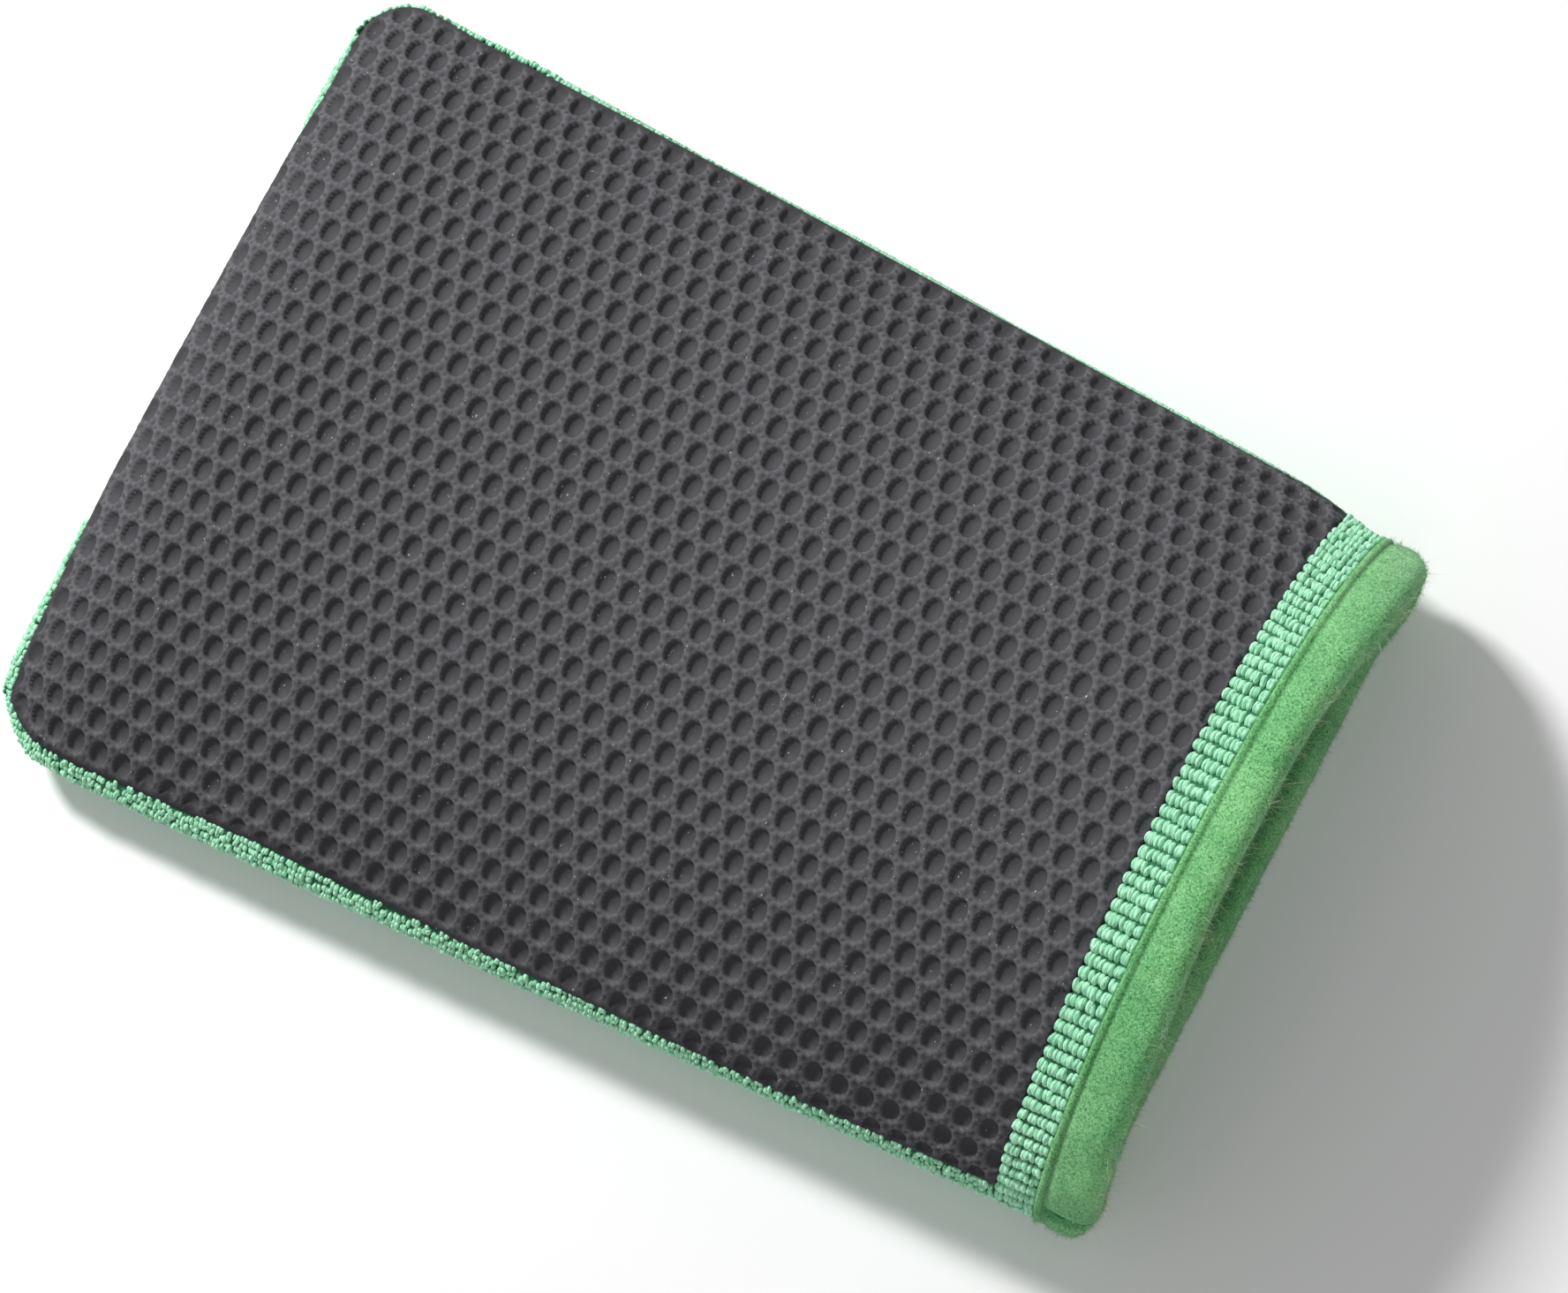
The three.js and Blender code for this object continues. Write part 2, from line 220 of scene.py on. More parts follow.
# A closed layer of cloth between two grids of points. The inner one is coarse times wider spaced.
def layer(name, outer, inner, outwards, values=None, coarse=1, innerValue=0.3):
    rows, columns = outer.shape[:2]
    count = rows * columns
    inner = inner[::coarse, ::coarse]
    top = grid(rows, columns)
    under = grid(*inner.shape[:2], start=count)[:, ::-1]
    rim, inside = rimOf(rows, columns, 1), rimOf(rows, columns, coarse) + count
    after, insideAfter = np.roll(rim, -1), np.roll(inside, -1)
    slants = np.stack([rim, after, inside], axis=1)
    turned = inside != insideAfter
    squares = np.stack([after, insideAfter, inside], axis=1)[turned]
    faces = [top, under, slants, squares]
    if outwards < 0:
        faces = [f[:, ::-1] for f in faces]
    points = np.concatenate([outer.reshape(-1, 3), inner.reshape(-1, 3)])
    if values:
        values = {k: np.concatenate([v, np.full(len(points) - count, innerValue)]) for k, v in values.items()}
    return makeMesh(name, points, faces, values)


def finishPiece(piece, material, slot, *nodes):
    piece.data.materials.clear()
    piece.data.materials.append(material)
    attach(piece, "root")
    if nodes:
        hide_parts(*nodes)
    return piece


# A number or link in a material that can be added, multiplied and compared.
class Wire:
    def __init__(self, paint, socket):
        self.paint, self.socket = paint, socket

    def maths(self, operation, first, second=0.0, clamp=False):
        settings = {"operation": operation, "use_clamp": clamp}
        return self.paint.add("ShaderNodeMath", settings, {0: first, 1: second})["Value"]

    def __add__(self, other): return self.maths("ADD", self, other)
    def __radd__(self, other): return self.maths("ADD", other, self)
    def __sub__(self, other): return self.maths("SUBTRACT", self, other)
    def __rsub__(self, other): return self.maths("SUBTRACT", other, self)
    def __mul__(self, other): return self.maths("MULTIPLY", self, other)

    # 0 below low, 1 above high.
    def between(self, low, high):
        return self.maths("MULTIPLY", self - low, 1 / (high - low), clamp=True)


# One material, whose nodes all come from add.
class Paint:
    def __init__(self, name, **constants):
        self.material = bpy.data.materials.new(name)
        self.material.use_nodes = True
        self.tree = self.material.node_tree
        self.shader = self.tree.nodes["Principled BSDF"]
        for socket, value in constants.items():
            self.shader.inputs[socket.replace("_", " ")].default_value = value

    def plug(self, socket, value):
        if isinstance(value, Wire):
            self.tree.links.new(value.socket, socket)
        else:
            socket.default_value = value

    def add(self, kind, settings=None, sockets=None):
        node = self.tree.nodes.new(kind)
        for key, value in (settings or {}).items():
            if key == "stops":
                ramp = node.color_ramp.elements
                while len(ramp) < len(value):
                    ramp.new(0.5)
                for stop, (place, colour) in zip(ramp, value):
                    stop.position, stop.color = place, (*colour, 1)
            else:
                setattr(node, key, value)
        for key, value in (sockets or {}).items():
            self.plug(node.inputs[key], value)
        return {s.name: Wire(self, s) for s in node.outputs if s.enabled}

    # Object coordinates in millimetres, stretched by scale.
    def place(self, scale=(1, 1, 1)):
        where = self.add("ShaderNodeTexCoord")["Object"]
        stretch = tuple(s / mm for s in scale)
        return self.add("ShaderNodeMapping", {}, {"Vector": where, "Scale": stretch})["Vector"]

    def noise(self, perMm, detail=2.0, stretch=(1, 1, 1), roughness=0.5):
        return self.add("ShaderNodeTexNoise", {}, {
            "Vector": self.place(stretch), "Scale": perMm, "Detail": detail, "Roughness": roughness,
        })["Fac"]

    def value(self, label):
        return self.add("ShaderNodeAttribute", {"attribute_name": label})["Fac"]

    def blend(self, share, a, b):
        node = self.tree.nodes.new("ShaderNodeMix")
        node.data_type = "RGBA"
        for socket, value in ((node.inputs[0], share), (node.inputs[6], a), (node.inputs[7], b)):
            self.plug(socket, (*value, 1) if isinstance(value, tuple) else value)
        return Wire(self, node.outputs[2])

    # Heights in millimetres, added up into one bump.
    def finish(self, colour, roughness, height):
        bump = self.add("ShaderNodeBump", {}, {"Height": height, "Distance": mm, "Strength": 1.0})["Normal"]
        self.plug(self.shader.inputs["Base Color"], colour)
        self.plug(self.shader.inputs["Roughness"], roughness)
        self.plug(self.shader.inputs["Normal"], bump)
        return self.material


# The floor colour, lighter than the web, is painted light in the dimple hollows; the ring colour is a painted
# highlight round each brim.
clayLook = {
    "web": (0.024, 0.024, 0.027), "floor": (0.043, 0.043, 0.048), "dusty": (0.047, 0.046, 0.052),
    "ring": (0.160, 0.159, 0.173), "lint": (0.50, 0.51, 0.53), "roughness": 0.5, "grain": 0.11,
}


def clayRubber():
    paint = Paint("clay rubber", Specular_IOR_Level=0.2)
    hollow = paint.value("hollow")
    grain = paint.noise(2.4, 4, roughness=0.65)
    fine = paint.noise(9.0, 2)
    cloud = paint.noise(0.045, 3)
    lint = paint.noise(2.3, 1, (1, 0.5, 1)).between(0.73, 0.77) * paint.noise(0.12, 2).between(0.48, 0.62)
    # The dimple floors turn lighter than the web: painted light in the hollows.
    colour = paint.blend(hollow.between(0.3, 0.95), clayLook["web"], clayLook["floor"])
    worn = cloud.between(0.35, 0.75) * 0.3 + fine.between(0.38, 0.66) * 0.3
    colour = paint.blend(worn, colour, clayLook["dusty"])
    # ring: a lighter band round each dimple's brim, read from the lip value: a painted highlight.
    ring = paint.value("lip") * (0.5 + grain.between(0.35, 0.65) * 0.2 + fine.between(0.4, 0.65) * 0.15)
    colour = paint.blend(ring, colour, clayLook["ring"])
    colour = paint.blend(lint * 0.8, colour, clayLook["lint"])
    roughness = clayLook["roughness"] + grain * 0.18 - hollow * 0.05
    height = grain * clayLook["grain"] + fine * (clayLook["grain"] * 0.6) + lint * 0.03
    return paint.finish(colour, roughness, height)


# The root colour is painted shade at the base of the loops; the tip colour is painted light on their tops.
microfibreLook = {
    "tip": (0.52, 0.95, 0.66), "flank": (0.12, 0.46, 0.25), "root": (0.008, 0.085, 0.040),
    "strand": 0.4, "strandsPerMm": 3.6,
}


def microfibre():
    paint = Paint("microfibre loops", Sheen_Weight=0.25, Sheen_Roughness=0.5, Specular_IOR_Level=0.2)
    lift = paint.value("lift")
    strand = paint.noise(microfibreLook["strandsPerMm"], 2, (1, 0.2, 0.2))
    fuzz = paint.noise(7.0, 2)
    cloud = paint.noise(0.06, 2)
    # Painted shade low on each loop and in the valleys, painted light on the loop tops, both read from lift.
    colour = paint.blend(lift.between(0.0, 0.5), microfibreLook["root"], microfibreLook["flank"])
    litTips = lift.between(0.3, 0.9) * (0.3 + strand.between(0.36, 0.6) * 0.7) * (0.78 + cloud * 0.4)
    colour = paint.blend(litTips, colour, microfibreLook["tip"])
    height = strand * microfibreLook["strand"] + fuzz * 0.04
    return paint.finish(colour, 0.86 + fuzz * 0.1, height)


fleeceLook = {
    "light": (0.285, 0.67, 0.28), "shade": (0.095, 0.40, 0.135), "paintedShade": (0.010, 0.12, 0.035),
    "wisp": (0.60, 0.66, 0.46), "pile": 0.4,
}


def fleece():
    paint = Paint("brushed fleece", Sheen_Weight=0.35, Sheen_Roughness=0.45, Specular_IOR_Level=0.15)
    lift = paint.value("lift")
    pile = paint.noise(2.3, 3, roughness=0.65)
    fine = paint.noise(6.0, 2)
    cloud = paint.noise(0.09, 3)
    # Small dark pits in the nap: painted shade.
    pitShade = 1 - (pile * 0.45 + fine * 0.55).between(0.4, 0.5)
    colour = paint.blend((pile * 0.5 + cloud * 0.5).between(0.34, 0.6), fleeceLook["shade"], fleeceLook["light"])
    colour = paint.blend(pitShade * 0.75, colour, fleeceLook["paintedShade"])
    # A low lift darkens the groove and the inside of the mouth: painted shade.
    colour = paint.blend((1 - lift) * 0.85, colour, fleeceLook["paintedShade"])
    colour = paint.blend(lift.between(1.2, 1.8), colour, fleeceLook["wisp"])
    height = pile * fleeceLook["pile"] + fine * 0.08
    return paint.finish(colour, 0.88 + fine * 0.1, height)


liningLook = {"thread": (0.20, 0.42, 0.28), "gap": (0.07, 0.20, 0.12), "weavePerMm": 1.4}


def plainWeave():
    paint = Paint("woven lining", Sheen_Weight=0.15, Specular_IOR_Level=0.3)
    warp, weft = (paint.add("ShaderNodeTexWave", {"bands_direction": way}, {
        "Vector": paint.place(), "Scale": liningLook["weavePerMm"], "Distortion": 0.6, "Detail Scale": 2.0,
    })["Fac"] for way in "XY")
    soft = paint.noise(0.15, 3)
    weave = warp * 0.5 + weft * 0.5
    colour = paint.blend(weave * (0.7 + soft * 0.5), liningLook["gap"], liningLook["thread"])
    return paint.finish(colour, 0.72 + soft * 0.15, weave * 0.12)


foamLook = {
    "pore": (0.45, 0.42, 0.33), "wall": (0.74, 0.71, 0.62), "aged": (0.62, 0.55, 0.38), "cellsPerMm": 1.6,
}


def foamCells():
    paint = Paint("open cell foam", Specular_IOR_Level=0.2)
    where = {"Vector": paint.place(), "Scale": foamLook["cellsPerMm"]}
    cells = paint.add("ShaderNodeTexVoronoi", {}, where)["Distance"]
    age = paint.noise(0.05, 3)
    colour = paint.blend(cells.between(0.1, 0.5), foamLook["pore"], foamLook["wall"])
    colour = paint.blend(age * 0.4, colour, foamLook["aged"])
    return paint.finish(colour, 0.9 + age * 0.05, cells * 0.3)


threadLook = {"light": (0.055, 0.36, 0.15), "dark": (0.012, 0.16, 0.06)}


def spunThread():
    paint = Paint("spun thread", Sheen_Weight=0.3, Specular_IOR_Level=0.4)
    plyShading = paint.value("lift")
    hairs = paint.noise(8.0, 2)
    # Darker where the thread dips between its plies: painted shade.
    colour = paint.blend(plyShading * (0.6 + hairs * 0.6), threadLook["dark"], threadLook["light"])
    return paint.finish(colour, 0.55 + hairs * 0.3, hairs * 0.05)


clayMaterial, microfibreMaterial, fleeceMaterial = clayRubber(), microfibre(), fleece()
liningMaterial, foamMaterial, threadMaterial = plainWeave(), foamCells(), spunThread()
print("materials mixed")

# The clay sheet: rounded dimples in staggered rows, cut to the outline. Margins are (along, inset) tables.
clay = {
    "tipStart": 0.5, "thickness": 2.0, "outlineStep": 0.8,
    "tipMargin": ((-76, -66, -52, -38, -24, 44, 54, 64, 76), (1.6, 2.6, 2.4, 1.5, 0.5, 0.5, 1.5, 1.1, 0.4)),
    "nearMargin": ((0.5, 3.5, 8, 60, 110, 165, 206), (0.5, 1.5, 2.4, 3.8, 2.4, 1.5, 2.0)),
    "farMargin": ((0.5, 3.5, 14, 24, 40, 90), (0.3, 0.4, 0.4, 1.1, 0.9, 0.5)),
    "pitchAlong": 5.005, "pitchAcross": 5.399, "firstAlong": 93.217, "firstAcross": 17.794,
    "lean": 0.0293, "bow": 0.000353, "latticeRows": (-13, 21), "latticeColumns": (-34, 40),
    "depth": 1.02, "floor": (1.5, 2.02), "brim": (1.96, 2.54), "roundness": 2.3,
    "valley": 0.34, "valleyWidth": 0.72, "sideFade": (0.6, 2.4), "mouthFade": (-0.5, 0.6),
    "ringPoints": 12, "rings": (-0.1, 0.0, 0.2, 0.55, 1.0, 1.35), "ringTwist": 0.22,
    "highlightAt": -0.08, "highlightWidth": 0.3, "edgeDrop": 0.35, "edgeWidth": 0.45, "edgeLine": 0.32, "edgeClear": 0.55,
}


def oval(a, b, size):
    n = clay["roundness"]
    return (np.abs(a / size[0]) ** n + np.abs(b / size[1]) ** n) ** (1 / n)


# How far up a dimple's wall a point is: 0 at the edge of its floor, 1 at its brim.
def wallShare(a, b):
    past, short = oval(a, b, clay["floor"]) - 1, 1 - oval(a, b, clay["brim"])
    return np.where(short <= 0, 1.0, np.clip(past / np.maximum(past + short, 1e-6), 0, 1))


def toCloth(u0, v0):
    return u0 + clay["lean"] * v0 + clay["bow"] * v0 ** 2, v0 - clay["lean"] * (u0 - bag["length"] / 2)


def toLattice(u, v):
    u0, v0 = u, v
    for _ in range(5):
        v0 = v + clay["lean"] * (u0 - bag["length"] / 2)
        u0 = u - clay["lean"] * v0 - clay["bow"] * v0 ** 2
    return u0, v0


def nearestDimple(u0, v0):
    best, past = np.ones(np.shape(u0)), np.full(np.shape(u0), 9.0)
    row = np.round((clay["firstAcross"] - v0) / clay["pitchAcross"])
    for j in (row - 1, row, row + 1):
        i = np.round((u0 - clay["firstAlong"]) / clay["pitchAlong"] - j / 2)
        a = u0 - clay["firstAlong"] - clay["pitchAlong"] * (i + j / 2)
        b = v0 - clay["firstAcross"] + clay["pitchAcross"] * j
        best = np.minimum(best, wallShare(a, b))
        past = np.minimum(past, oval(a, b, clay["brim"]) - 1)
    return best, past * clay["brim"][0]


clayUs = np.linspace(clay["tipStart"], clayEnd, 900)


# How far the clay reaches from the middle, on the -Y side or the +Y side.
def clayReach(margin):
    inset = np.interp(clayUs, *margin)
    across = np.clip(halfWidth(clayUs, inset) / halfWidth(clayUs, 0.0), 0, 1)
    rows = ((clayUs - palm.us[0]) / (palm.us[1] - palm.us[0])).astype(int)
    shares = [np.interp(2 / math.pi * math.asin(a), palm.table[r], palm.shares) for a, r in zip(across, rows)]
    return palm.reachAt(clayUs) * np.array(shares)


nearReach, farReach = clayReach(clay["nearMargin"]), clayReach(clay["farMargin"])
nearSlope, farSlope = (np.hypot(1, np.gradient(r, clayUs)) for r in (nearReach, farReach))


# How far inside the clay's outline a point is: from its sides and fingertip end, and from the mouth edge.
def insideClay(u, v):
    near = (np.interp(u, clayUs, nearReach) + v) / np.interp(u, clayUs, nearSlope)
    far = (np.interp(u, clayUs, farReach) - v) / np.interp(u, clayUs, farSlope)
    return np.minimum(np.minimum(near, far), u - np.interp(v, *clay["tipMargin"])), clayEnd - u


def clayHeight(u, v):
    wall, past = nearestDimple(*toLattice(u, v))
    hollow = 1 - np.sin(wall * math.pi / 2)
    valley = smooth(0, clay["valleyWidth"], past)
    side, mouth = insideClay(u, v)
    fade = smooth(*clay["sideFade"], side) * smooth(*clay["mouthFade"], mouth)
    rounded = clay["edgeDrop"] * np.exp(-(np.maximum(np.minimum(side, mouth), 0) / clay["edgeWidth"]) ** 2)
    # lip marks a band round each brim that only colours the clay, as a painted highlight; it does not change the
    # height.
    lip = np.exp(-((past - clay["highlightAt"]) / clay["highlightWidth"]) ** 2)
    return -(clay["depth"] * hollow + clay["valley"] * valley) * fade - rounded, hollow * fade, lip * fade


def resample(points, step):
    loop = np.concatenate([points, points[:1]])
    run = np.concatenate([[0], np.cumsum(np.hypot(*np.diff(loop, axis=0).T))])
    places = np.linspace(0, run[-1], int(run[-1] / step), endpoint=False)
    return np.stack([np.interp(places, run, loop[:, k]) for k in (0, 1)], axis=1)


# Triangles held to an outline, which is the first count points. Also says where the outline's points went.
def triangulate(flat, count):
    edges = [(k, (k + 1) % count) for k in range(count)]
    found = delaunay_2d_cdt([Vector(p) for p in flat], edges, [], 1, 1e-5)
    source = np.array([o[0] if o else -1 for o in found[3]])
    onRim = (source >= 0) & (source < count)
    rim = np.empty(count, int)
    rim[source[onRim]] = np.nonzero(onRim)[0]
    return np.array([tuple(p) for p in found[0]]), np.array(found[2]), rim


def claySheet():
    near, far = np.stack([clayUs, -nearReach], axis=1), np.stack([clayUs, farReach], axis=1)
    outline = resample(np.concatenate([near, far[::-1]]), clay["outlineStep"])
    outline[:, 0] = np.maximum(outline[:, 0], np.interp(outline[:, 1], *clay["tipMargin"]))
    spots = [[(0.0, 0.0)]]
    turns = np.arange(clay["ringPoints"]) * 2 * math.pi / clay["ringPoints"]
    for k, share in enumerate(clay["rings"]):
        a, b = np.cos(turns + k * clay["ringTwist"]), np.sin(turns + k * clay["ringTwist"])
        radius = mix(1 / oval(a, b, clay["floor"]), 1 / oval(a, b, clay["brim"]), share)
        spots.append(list(zip(a * radius, b * radius)))
    halfA, halfB = clay["pitchAlong"] / 2, clay["pitchAcross"]
    high = (halfA ** 2 + halfB ** 2) / (2 * halfB)
    spots.append([(halfA, 0), (halfA / 2, halfB / 2), (-halfA / 2, halfB / 2), (0, high), (halfA, halfB - high)])
    spots = np.array([s for ring in spots for s in ring])
    j, i = np.meshgrid(np.arange(*clay["latticeRows"]), np.arange(*clay["latticeColumns"]), indexing="ij")
    u0 = clay["firstAlong"] + clay["pitchAlong"] * (i + j / 2).ravel()
    v0 = clay["firstAcross"] - clay["pitchAcross"] * j.ravel()
    u, v = toCloth((u0[:, None] + spots[:, 0]).ravel(), (v0[:, None] + spots[:, 1]).ravel())
    side, mouth = insideClay(np.clip(u, clayUs[0], clayEnd), v)
    keep = np.minimum(side, np.minimum(mouth, u - clayUs[0])) > clay["edgeClear"]
    inner = np.stack([u[keep], v[keep]], axis=1)
    # A second line just inside the outline holds the rounded edge.
    middle = np.array([bag["length"] / 2, 0])
    outwards = outline - middle
    pulled = outline - clay["edgeLine"] * outwards / np.linalg.norm(outwards, axis=1, keepdims=True)
    count = len(outline)
    top, topFaces, rim = triangulate(np.concatenate([outline, pulled, inner]), count)
    coarse = inner[(np.arange(len(inner)) % len(spots)) == 0]
    under, underFaces, underRim = triangulate(np.concatenate([outline, coarse]), count)
    # lip carries the band for the painted highlight round the brims.
    height, hollow, lip = clayHeight(top[:, 0], top[:, 1])
    points = np.concatenate([
        palm.at(top[:, 0], top[:, 1], height=height),
        palm.at(under[:, 0], under[:, 1], height=-clay["thickness"])])
    underRim += len(top)
    after, underAfter = np.roll(rim, -1), np.roll(underRim, -1)
    walls = np.stack([rim, underRim, underAfter, after], axis=1)
    faces = [topFaces, underFaces[:, ::-1] + len(top), walls]
    values = {k: np.concatenate([v, np.zeros(len(under))]) for k, v in (("hollow", hollow), ("lip", lip))}
    return makeMesh("clay_sheet", points, faces, values)


clayPiece = finishPiece(claySheet(), clayMaterial, "clay", "clay_face")
print("clay sheet", len(clayPiece.data.polygons), "faces")

# Pile loops: plump grains laid across the ribs, each a little arched, with its ends tucked down.
loops = {
    "ribPitch": 2.5, "stripPitch": 0.94, "halfLength": 1.3, "halfWidth": 0.55, "rise": 0.8,
    "widthSpread": (0.85, 1.2), "lengthSpread": (0.86, 1.06), "riseSpread": (0.85, 1.12),
    "stripTurn": 0.13, "stripSink": (-0.75, 0.09), "pinch": (0.14, -0.05), "arch": 0.45,
    "edgePitchAlong": 0.86, "edgePitchAcross": 1.3, "edgeReach": 84,
    "edgeHalfWidth": (0.38, 0.54), "edgeHalfLength": (0.66, 0.95), "edgeRise": (0.5, 0.7),
    "edgeTurn": 0.24, "edgeSink": (-0.5, 0.12), "tipRows": (0.2, 0.26, 0.36, 0.52, 0.76),
    "hiddenSink": 0.55, "hiddenFrom": 40, "hiddenTip": 8, "hiddenTipAcross": (-34, 48),
}


def plump(x):
    return np.sign(x) * np.abs(x) ** 0.75


def grain(around, levels):
    latitudes = np.linspace(-math.pi / 2, math.pi / 2, levels + 2)[1:-1]
    turns = np.arange(around) * 2 * math.pi / around
    ring = np.stack([plump(np.cos(turns)), plump(np.sin(turns)), np.zeros(around)], axis=1)
    rows = [ring * [plump(math.cos(l)), plump(math.cos(l)), 0] + [0, 0, plump(math.sin(l))] for l in latitudes]
    points = np.concatenate([[[0, 0, -1]], *rows, [[0, 0, 1]]])
    quads = grid(levels, around, closeColumns=True, start=1)[:, ::-1]
    first = np.arange(around)
    last = len(points) - 1
    low = np.stack([np.zeros(around, int), 1 + (first + 1) % around, 1 + first], axis=1)
    high = np.stack([np.full(around, last), last - around + first, last - around + (first + 1) % around], axis=1)
    return points, quads, np.concatenate([low, high])


# Grains at (u, v) on a side; sizes are half width, half length and rise, turn is in radians.
def pile(side, u, v, sizes, turn, sink, template):
    points, quads, tris = template
    centre = side.at(u, v, height=sink)
    up = side.normal(u, v)
    ahead = side.point(u + 0.3, v) - side.point(u - 0.3, v)
    ahead -= up * np.sum(ahead * up, axis=1, keepdims=True)
    ahead /= np.linalg.norm(ahead, axis=1, keepdims=True)
    across = np.cross(up, ahead)
    c, s = np.cos(turn)[:, None], np.sin(turn)[:, None]
    ahead, across = ahead * c + across * s, across * c - ahead * s
    local = points[None] * sizes[:, None, :]
    arch = -loops["arch"] * local[..., 1] ** 2 / np.maximum(sizes[:, None, 1], 0.1)
    placed = (centre[:, None] + ahead[:, None] * local[..., :1] + across[:, None] * local[..., 1:2]
              + up[:, None] * (local[..., 2:] + arch[..., None]))
    start = np.arange(len(u))[:, None, None] * len(points)
    # lift is high on a grain's top and low at its base and ends; the microfibre material turns it into painted light
    # and painted shade.
    lift = np.broadcast_to(np.clip(points[:, 2] * 0.75 + 0.55 - 0.35 * points[:, 1] ** 2, 0, 1), placed.shape[:2])
    faces = [(quads[None] + start).reshape(-1, 4), (tris[None] + start).reshape(-1, 3)]
    return placed.reshape(-1, 3), faces, lift.ravel()


def joined(name, parts):
    points, faces, lifts, start = [], [], [], 0
    for p, f, lift in parts:
        points.append(p)
        lifts.append(lift)
        faces += [x + start for x in f]
        start += len(p)
    return makeMesh(name, np.concatenate(points), faces, {"lift": np.concatenate(lifts)})


def ribStrip():
    reach = palm.reachAt(210.0)
    ribs = np.arange(-math.floor(reach / loops["ribPitch"]), math.floor(reach / loops["ribPitch"]) + 1)
    places = np.arange(clayEnd + 0.35, bindingStart + 0.2, loops["stripPitch"])
    v, u = [x.ravel() for x in np.meshgrid(ribs * loops["ribPitch"], places, indexing="ij")]
    count = len(u)
    order = np.tile(np.arange(len(places)), len(ribs))
    cluster = random.integers(2, 4, count)
    pinch = np.where(order % cluster == 0, *loops["pinch"])
    u = u + pinch + random.normal(0, 0.07, count)
    v = v + random.normal(0, 0.09, count)
    sizes = np.stack([
        loops["halfWidth"] * random.uniform(*loops["widthSpread"], count),
        loops["halfLength"] * random.uniform(*loops["lengthSpread"], count),
        loops["rise"] * random.uniform(*loops["riseSpread"], count)], axis=1)
    keep = np.abs(v) < palm.reachAt(u) - 0.2
    turn = random.normal(0, loops["stripTurn"], count)
    sink = random.normal(*loops["stripSink"], count)
    return pile(palm, u[keep], v[keep], sizes[keep], turn[keep], sink[keep], grain(12, 6))


# On the palm the loops lie beyond the clay; on the back, within high of its sides and low of its tip.
def edgePile(side, low=0.0, high=0.0):
    us = np.concatenate([loops["tipRows"], np.arange(1.1, bindingStart, loops["edgePitchAlong"])])
    vs = np.arange(-loops["edgeReach"], loops["edgeReach"], loops["edgePitchAcross"])
    v, u = [x.ravel() for x in np.meshgrid(vs, us, indexing="ij")]
    u = u + random.normal(0, 0.16, len(u)) * smooth(0.4, 1.2, u)
    v = v + random.normal(0, 0.22, len(u))
    u = np.clip(u, 0.18, bindingStart)
    if side is palm:
        inside, mouth = insideClay(np.clip(u, clayUs[0], clayEnd), v)
        inside = np.where(u < clayUs[0], -1, inside)
        keep = (inside < -0.1) & (np.abs(v) < palm.reachAt(u) - 0.1) & (u < clayEnd + 0.3)
    else:
        reach, away = back.reachAt(u), np.abs(v)
        keep = (away > reach - high) & (away < reach - 0.1) | (u < low) & (away < reach)
    u, v = u[keep], v[keep]
    count = len(u)
    sizes = np.stack([
        random.uniform(*loops["edgeHalfWidth"], count),
        random.uniform(*loops["edgeHalfLength"], count),
        random.uniform(*loops["edgeRise"], count)], axis=1)
    left, right = loops["hiddenTipAcross"]
    hidden = (v > 0) & (u > loops["hiddenFrom"]) | (u < loops["hiddenTip"]) & (v > left) & (v < right)
    sink = random.normal(*loops["edgeSink"], count) - loops["hiddenSink"] * hidden
    return pile(side, u, v, sizes, random.normal(0, loops["edgeTurn"], count), sink, grain(7, 3))


stripPiece = finishPiece(joined("rib_loops", [ribStrip()]), microfibreMaterial, "microfibre")
edgeParts = [edgePile(palm), edgePile(back, 2.0, 4.0)]
edgePiece = finishPiece(joined("edge_loops", edgeParts), microfibreMaterial, "microfibre")
print("loops", len(stripPiece.data.polygons), len(edgePiece.data.polygons), "faces")

# Cloth layers. Depths are below the outer surface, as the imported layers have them.
layers = {
    "fabricTop": 2.3, "fabricUnder": 3.7, "layerEnd": 220.2,
    "bareTop": 0.95, "palmRib": 0.12, "backRib": 0.9, "beadPitch": 1.35, "backRows": 329, "backColumns": 261,
}
foam = {"top": 4.0, "under": 5.6, "count": 60, "sag": 0.08}
lining = {"top": 5.9, "under": 6.5, "count": 90, "sag": 0.12}


def net(side, us, count, inset=0.3):
    shares = np.linspace(-1, 1, count)
    u = np.broadcast_to(us[:, None], (len(us), count))
    return u, shares[None, :] * (side.reachAt(u) - inset)


def palmCloth():
    us = np.concatenate([
        np.linspace(0.6, clayEnd - 0.4, 110), [clayEnd, clayEnd + 0.6],
        np.linspace(clayEnd + 1.2, bindingStart, 12), [bindingStart + 0.3, layers["layerEnd"]]])
    u, v = net(palm, us, 120, 0.5)
    side, mouth = insideClay(np.clip(u, clayUs[0], clayEnd), v)
    beyondClay = np.maximum(smooth(-0.2, -0.5, np.minimum(side, mouth)), smooth(clayEnd, clayEnd + 0.3, u))
    bare = beyondClay * (u <= bindingStart)
    depth = mix(layers["fabricTop"], layers["bareTop"], bare)
    ribs = np.cos(v / loops["ribPitch"] * 2 * math.pi) * layers["palmRib"] * bare
    outer = palm.at(u, v, depth=depth, height=ribs)
    inner = palm.at(u, v, depth=layers["fabricUnder"])
    # A lift of 0.12 paints the whole cloth dark green, painted shade under the loops.
    return layer("palm_microfibre_cloth", outer, inner, 1, {"lift": np.full(u.size, 0.12)})


